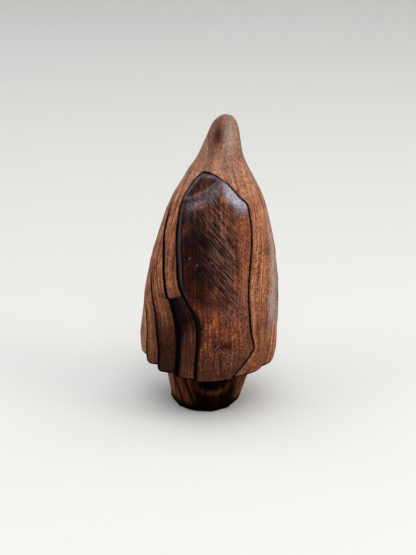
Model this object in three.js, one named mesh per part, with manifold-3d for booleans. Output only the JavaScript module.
// Carved wooden figurine: a hooded, cloaked figure on a short tapered foot.
// Millimetres, +Z up, the origin on the ground under the middle of the figure. The back of the figure,
// with its dark panel, faces -Y. Angles are measured about +Z in degrees: 0 is the middle of the back
// (-Y), 90 is the +X side, 180 is the front (+Y).
import * as THREE from "three";
import { mergeVertices } from "three/addons/utils/BufferGeometryUtils.js";
import Module from "manifold-3d";

const wasm = await Module();
wasm.setup();

// Driving dimensions.
const TOP = 120.7; // tip of the hood
const HEM = 20; // underside of the cloak
const GAP = 0.3; // clearance between pieces that are glued together
const PANEL_DEPTH = 4; // how deep the back panel is let into the cloak
const PANEL_RISE = 0.8; // how far its face stands proud of the cloak
const PANEL_CHAMFER = 3; // width of the slope round its edge
const PANEL_TOP = 100;
const DOWEL_RADIUS = 4;
const DOWEL_LENGTH = 24;
const FOLD_WALL = 0.5; // width of the steep side of a carved fold
const HOLLOW_DEPTH = 1; // hollow of the hood round the face
const HOLLOW_HEIGHT = 108; // its middle
const HOLLOW_REACH = 7.5; // half its height
const HOLLOW_TURN = 48; // half its width, in degrees

// Plan of the cloak at each height: [z, size].
const HALF_WIDTH = [[20, 27.8], [28, 28.6], [45, 27.4], [60, 24.9], [75, 21.3], [88, 17.7], [97, 13.1],
  [104, 9.1], [111, 6.8], [117, 4.9], [119.6, 2.7], [120.7, 0]];
const DEPTH_BACK = [[20, 23.4], [28, 24], [45, 22.4], [60, 20.7], [75, 18], [88, 14.9], [97, 11.4],
  [104, 8.8], [111, 6.8], [117, 5.2], [119.6, 3.2], [120.7, 0]];
const DEPTH_FRONT = [[20, 28.2], [28, 29], [45, 27.6], [60, 25.2], [75, 21.6], [88, 17.6], [97, 13.6],
  [104, 10.2], [111, 7.7], [117, 5.8], [119.6, 3.5], [120.7, 0]];
const LEAN_X = [[20, 0.1], [28, 0.2], [45, 1.5], [60, 2.8], [75, 4], [97, 4.3], [104, 4.9], [117, 6.6],
  [120.7, 7.2]];
const LEAN_Y = [[20, 0], [45, 0.2], [60, 0.5], [88, 1.7], [104, 2.9], [117, 3.5], [120.7, 3.5]];
// Rise of the hem above HEM at each angle: [angle, mm]. It dies away over HEM_FADE above the hem.
const HEM_RISE = [[-180, 1.5], [-100, 2.4], [-69, 2.8], [-56, 1.5], [-39, 0.6], [-27, 0.1], [-10, 0],
  [60, 0], [75, 1.2], [100, 1.8], [180, 1.5]];
const HEM_FADE = 20;
const SEAT_RADIUS = 18.8; // flat on the underside that the foot is glued to
const SQUARENESS = 0.05; // how much the corners of the plan are drawn in towards the hem
const SQUARE_BELOW = 25;
const ROUND_ABOVE = 85;

// The carved folds in order round the figure, from the front (-180) by the -X side, the back and the +X
// side. Each runs up the cloak along [z, angle] points. Its step, in mm at the hem, is how much further
// out the cloak stands past the fold, and it dies away from height full up to height gone.
const FOLDS = [
  { route: [[20, -157], [60, -160], [96, -150]], step: 3.2, full: 70, gone: 99 },
  { route: [[20, -128], [50, -130], [80, -128]], step: -1.1, full: 40, gone: 84 },
  { route: [[20, -102], [45, -108], [66, -112]], step: -1.1, full: 30, gone: 68 },
  { route: [[20, -62], [32.5, -63], [41, -69.8], [46, -79.2], [51, -91]], step: 1.2, full: 25, gone: 54 },
  { route: [[20, -45.3], [29, -44.2], [36.5, -47.8], [43, -53.5], [52.5, -66.8], [58, -76.2], [64, -88]],
    step: 1.3, full: 36, gone: 67 },
  { route: [[20, -26.8], [29, -24.8], [36, -26.5], [42, -30.5], [48, -37.2], [54, -44.8], [66, -56.5],
    [74, -66], [86.5, -79]], step: 1.3, full: 49, gone: 92 },
  { route: [[20, -10], [34, -9.2], [40.5, -10.5], [46, -14.2], [51, -21.5], [57.5, -30.8], [65, -36.5],
    [73.5, -43.2], [82.5, -49.8], [90, -52.8], [96.5, -47], [100, -34.8]], step: 0, full: 100, gone: 101 },
  { route: [[20, 18.8], [24, 25.2], [32, 37.2], [38.5, 34], [45, 32.2], [53, 31.5], [61, 32.8], [72, 37.2],
    [80, 40], [87.2, 40.2], [91, 30], [95.2, 17.8], [99.2, -8.2], [100, -20]], step: 0, full: 100,
    gone: 101 },
  { route: [[20, 44], [23, 50.5], [28, 55.5], [34, 57.5], [45.8, 63.2], [53.5, 66.8], [67.5, 74],
    [77.5, 80.5]], step: -1.5, full: 39, gone: 84 },
  { route: [[20, 67.5], [28, 72.8], [46, 75], [60, 80]], step: -1, full: 25, gone: 60 },
  { route: [[20, 106], [45, 106], [70, 104]], step: 1.1, full: 30, gone: 68 },
  { route: [[20, 131], [50, 128], [80, 122]], step: 1.1, full: 40, gone: 84 },
  { route: [[20, 160], [60, 157], [96, 152]], step: -3.2, full: 70, gone: 99 },
];
const PANEL_LEFT = 6; // places of the panel's two edges in FOLDS
const PANEL_RIGHT = 7;
const ROBE_LEVEL = -1; // the robe between the cloak's front edges
const COLUMN_ANGLE = 8; // widest angle between two columns of points at the hem
const ROWS = 44;
const ROW_CROWDING = 1.5; // above 1 the rows lie closer together towards the tip
const PANEL_COLUMNS = 10;
const PANEL_ROWS = 30;
const PANEL_CROWDING = 1.4;
const SHOULDER = 20; // below the panel's top, the pocket's sides start to rise by the gap as well
const SHOULDER_END = 5;
const CUT_ABOVE = 6; // how far the pocket's cutter stands out of the cloak
const CUT_BELOW = 4; // and how far it reaches below the hem

// Foot: [z, radius] up its side, and the hand-cut flats round it.
const FOOT_SIDE = [[0, 12.6], [1.6, 13.9], [6, 15], [12, 16.6], [HEM - GAP, 18.4]];
const FOOT_LEAN_BOTTOM = -1.25; // the foot's middle runs from here at the ground to FOOT_LEAN_TOP
const FOOT_LEAN_TOP = 0.6;
const FOOT_FLATS = 11;
const FLATS_TURN = 12; // degrees

const paint = (color, roughness) => new THREE.MeshStandardMaterial({ color, roughness, metalness: 0 });
const CLOAK_WOOD = paint(0x7a4d35, 0.5);
const PANEL_WOOD = paint(0x3d1f17, 0.32);
const FOOT_WOOD = paint(0x2e1a12, 0.5);
const DOWEL_WOOD = paint(0xb9905f, 0.7);

const radians = THREE.MathUtils.degToRad;
const mix = THREE.MathUtils.lerp;

// Value at height z of a smooth curve through [z, value] points that never overshoots them.
function valueAt(points, z) {
  const last = points.length - 1;
  const height = THREE.MathUtils.clamp(z, points[0][0], points[last][0]);
  let i = 0;
  while (i < last - 1 && height > points[i + 1][0]) {
    i += 1;
  }
  const slope = (k) => (points[k + 1][1] - points[k][1]) / (points[k + 1][0] - points[k][0]);
  const tangent = (k) => {
    const before = slope(Math.max(k - 1, 0));
    const after = slope(Math.min(k, last - 1));
    return before * after <= 0 ? 0 : (2 * before * after) / (before + after);
  };
  const span = points[i + 1][0] - points[i][0];
  const t = (height - points[i][0]) / span;
  return points[i][1] * (1 + 2 * t) * (1 - t) ** 2 + points[i + 1][1] * (3 - 2 * t) * t ** 2
    + span * (tangent(i) * t * (1 - t) ** 2 - tangent(i + 1) * (1 - t) * t ** 2);
}

const angleAt = (fold, z) => valueAt(fold.route, z);
const stepAt = (fold, z) => fold.step * (1 - THREE.MathUtils.smoothstep(z, fold.full, fold.gone));

// Point of the cloak at an angle and a height, standing out by level beyond its smooth form.
function cloakPoint(angle, z, level) {
  const turn = radians(angle);
  const across = Math.sin(turn);
  const along = -Math.cos(turn);
  const squared = SQUARENESS * (1 - THREE.MathUtils.smoothstep(z, SQUARE_BELOW, ROUND_ABOVE));
  const corners = squared * Math.sin(2 * turn) ** 2;
  const depth = valueAt(along < 0 ? DEPTH_BACK : DEPTH_FRONT, z);
  const x = valueAt(LEAN_X, z) + (valueAt(HALF_WIDTH, z) * (1 - corners) + level) * across;
  const y = valueAt(LEAN_Y, z) + (depth * (1 - corners) + level) * along;
  return new THREE.Vector3(x, y, z);
}

// Level of the cloak just past a fold: the sum of the steps up to it.
function levelPast(index, z) {
  const fade = 1 - THREE.MathUtils.smoothstep(z, FOLDS[0].full, FOLDS[0].gone);
  const start = ROBE_LEVEL * fade;
  return FOLDS.slice(0, index + 1).reduce((level, fold) => level + stepAt(fold, z), start);
}

// Level under the panel, which runs evenly from the folds on its left to those on its right.
function panelLevel(share, z) {
  const left = levelPast(PANEL_LEFT, z);
  const right = -stepAt(FOLDS[PANEL_RIGHT + 1], z) - stepAt(FOLDS[PANEL_RIGHT + 2], z);
  return mix(left, right, share);
}

// Columns of points round the cloak: [fold before, share of the way to the next fold].
function cloakColumns() {
  const columns = [];
  for (let i = -1; i < FOLDS.length; i += 1) {
    const from = i < 0 ? -180 : angleAt(FOLDS[i], HEM);
    const to = i + 1 < FOLDS.length ? angleAt(FOLDS[i + 1], HEM) : 180;
    const count = Math.max(2, Math.ceil((to - from) / COLUMN_ANGLE));
    for (let k = 0; k <= count; k += 1) {
      columns.push([i, k / count]);
    }
  }
  return columns;
}

// Angle and level of a column at a height. A fold's wall lies between the last column before the fold
// and the first one past it.
function columnAt([index, share], z) {
  const wall = THREE.MathUtils.radToDeg(FOLD_WALL / 2 / Math.max(valueAt(HALF_WIDTH, z), 4));
  const from = index < 0 ? -180 : angleAt(FOLDS[index], z) + wall;
  const to = index + 1 < FOLDS.length ? angleAt(FOLDS[index + 1], z) - wall : 180;
  let level = levelPast(index, z);
  if (index === PANEL_LEFT) {
    level = panelLevel(share, z);
  }
  if (index >= PANEL_RIGHT) {
    level += panelLevel(1, z) - panelLevel(0, z);
  }
  return [mix(from, to, share), level];
}

// Depth of the hollow that the hood leaves round the face, an oval on the front.
function faceHollow(angle, z) {
  const off = Math.hypot((180 - Math.abs(angle)) / HOLLOW_TURN, (z - HOLLOW_HEIGHT) / HOLLOW_REACH);
  return HOLLOW_DEPTH * (1 - THREE.MathUtils.smoothstep(off, 0.7, 1));
}

// Welds a geometry's shared points and drops triangles that have no area.
function weld(geometry) {
  geometry.deleteAttribute("normal");
  geometry.deleteAttribute("uv");
  const welded = mergeVertices(geometry, 1e-4);
  const corners = welded.index.array;
  const kept = [];
  for (let i = 0; i < corners.length; i += 3) {
    const [a, b, c] = [corners[i], corners[i + 1], corners[i + 2]];
    if (a !== b && b !== c && c !== a) {
      kept.push(a, b, c);
    }
  }
  welded.setIndex(kept);
  return welded;
}

// Round closed body with a column of points for each of count directions. place(column, row) gives a
// point, and the first and last rows close on the axis.
function turnedBody(count, rows, place) {
  const profile = Array.from({ length: rows }, (_, row) => new THREE.Vector2(1, row));
  const geometry = new THREE.LatheGeometry(profile, count);
  const position = geometry.attributes.position;
  for (let i = 0; i <= count; i += 1) {
    for (let row = 0; row < rows; row += 1) {
      const point = place(i % count, row);
      position.setXYZ(i * rows + row, point.x, point.y, point.z);
    }
  }
  return weld(geometry);
}

function solid(geometry) {
  return new wasm.Manifold(new wasm.Mesh({
    numProp: 3,
    vertProperties: Float32Array.from(geometry.attributes.position.array),
    triVerts: Uint32Array.from(geometry.index.array),
  }));
}

function geometryOf(body) {
  const cut = body.getMesh();
  const geometry = new THREE.BufferGeometry();
  geometry.setAttribute("position", new THREE.BufferAttribute(Float32Array.from(cut.vertProperties), 3));
  geometry.setIndex(new THREE.BufferAttribute(Uint32Array.from(cut.triVerts), 1));
  geometry.computeVertexNormals();
  return geometry;
}

// Hood and cloak as one body, before anything is cut into it.
function cloakBody() {
  const columns = cloakColumns();
  const heights = Array.from({ length: ROWS }, (_, k) => (
    TOP - (TOP - HEM) * (1 - k / (ROWS - 1)) ** ROW_CROWDING
  ));
  return turnedBody(columns.length, ROWS + 2, (column, row) => {
    const [hemAngle] = columnAt(columns[column], HEM);
    if (row < 2) {
      const seat = row * SEAT_RADIUS;
      return new THREE.Vector3(seat * Math.sin(radians(hemAngle)), -seat * Math.cos(radians(hemAngle)), HEM);
    }
    const even = heights[row - 2];
    const z = even + valueAt(HEM_RISE, hemAngle) * Math.max(0, 1 - (even - HEM) / HEM_FADE);
    const [angle, level] = columnAt(columns[column], z);
    const fade = z < TOP ? 1 : 0;
    return cloakPoint(angle, z, (level - faceHollow(angle, z)) * fade);
  });
}

// A slab that follows the panel's outline, grown by margin, down to depth below the cloak's level.
// face(share, z) is the level of its outer side, and its foot reaches skirt below the hem.
function panelSlab(margin, skirt, depth, face) {
  const geometry = weld(new THREE.BoxGeometry(1, 1, 1, PANEL_COLUMNS, PANEL_ROWS, 1));
  const position = geometry.attributes.position;
  for (let i = 0; i < position.count; i += 1) {
    const share = position.getX(i) + 0.5;
    const down = 0.5 - position.getY(i);
    const z = PANEL_TOP - (PANEL_TOP - HEM) * down ** PANEL_CROWDING;
    const spread = THREE.MathUtils.radToDeg(margin / valueAt(HALF_WIDTH, z));
    const left = angleAt(FOLDS[PANEL_LEFT], z) - spread;
    const right = angleAt(FOLDS[PANEL_RIGHT], z) + spread;
    const base = panelLevel(share, z);
    const level = position.getZ(i) > 0 ? base + face(share, z) : base - depth;
    const rise = THREE.MathUtils.smoothstep(z, PANEL_TOP - SHOULDER, PANEL_TOP - SHOULDER_END);
    const raised = z + margin * rise;
    const point = cloakPoint(mix(left, right, share), raised, level);
    position.setXYZ(i, point.x, point.y, down === 1 ? HEM - skirt : raised);
  }
  return geometry;
}

// The panel's face rises from its edge over a chamfer.
function panelFace(share, z) {
  const width = radians(angleAt(FOLDS[PANEL_RIGHT], z) - angleAt(FOLDS[PANEL_LEFT], z))
    * valueAt(DEPTH_BACK, z);
  const inside = Math.min(Math.min(share, 1 - share) * width, (PANEL_TOP - z) / 2);
  return PANEL_RISE * THREE.MathUtils.smoothstep(inside, 0, PANEL_CHAMFER);
}

// A tapered round block with hand-cut flats round its base.
function footBody() {
  const columns = 4 * FOOT_FLATS;
  const height = HEM - GAP;
  return turnedBody(columns, FOOT_SIDE.length + 2, (column, row) => {
    const side = THREE.MathUtils.clamp(row - 1, 0, FOOT_SIDE.length - 1);
    const [z, radius] = FOOT_SIDE[side];
    const middle = mix(FOOT_LEAN_BOTTOM, FOOT_LEAN_TOP, z / height);
    if (row === 0 || row === FOOT_SIDE.length + 1) {
      return new THREE.Vector3(middle, 0, z);
    }
    const angle = (360 / columns) * column + FLATS_TURN;
    const offFlat = radians(((angle - FLATS_TURN) % (360 / FOOT_FLATS)) - 180 / FOOT_FLATS);
    const flat = Math.cos(Math.PI / FOOT_FLATS) / Math.cos(offFlat);
    const reach = radius * mix(flat, 1, z / height);
    return new THREE.Vector3(middle + reach * Math.sin(radians(angle)), -reach * Math.cos(radians(angle)), z);
  });
}

// Upright round bar from z = low to z = high on the figure's axis.
function upright(radius, low, high) {
  const geometry = new THREE.CylinderGeometry(radius, radius, high - low, 24);
  geometry.rotateX(Math.PI / 2);
  geometry.translate(0, 0, (low + high) / 2);
  return weld(geometry);
}

const middle = HEM - GAP / 2;
const dowelLow = middle - DOWEL_LENGTH / 2;
const dowelHigh = middle + DOWEL_LENGTH / 2;
const dowelHole = solid(upright(DOWEL_RADIUS + GAP, dowelLow - GAP, dowelHigh + GAP));
const pocket = solid(panelSlab(GAP, CUT_BELOW, PANEL_DEPTH + GAP, () => CUT_ABOVE));
const cloak = solid(cloakBody()).subtract(pocket).subtract(dowelHole);
const foot = solid(footBody()).subtract(dowelHole);

function piece(name, geometry, material) {
  const mesh = new THREE.Mesh(geometry, material);
  mesh.name = name;
  return mesh;
}

const group = new THREE.Group();
group.add(piece("cloak_block", geometryOf(cloak), CLOAK_WOOD));
group.add(piece("back_panel", panelSlab(0, 0, PANEL_DEPTH, panelFace), PANEL_WOOD));
group.add(piece("foot_block", geometryOf(foot), FOOT_WOOD));
group.add(piece("foot_dowel", upright(DOWEL_RADIUS, dowelLow, dowelHigh), DOWEL_WOOD));

export default group;
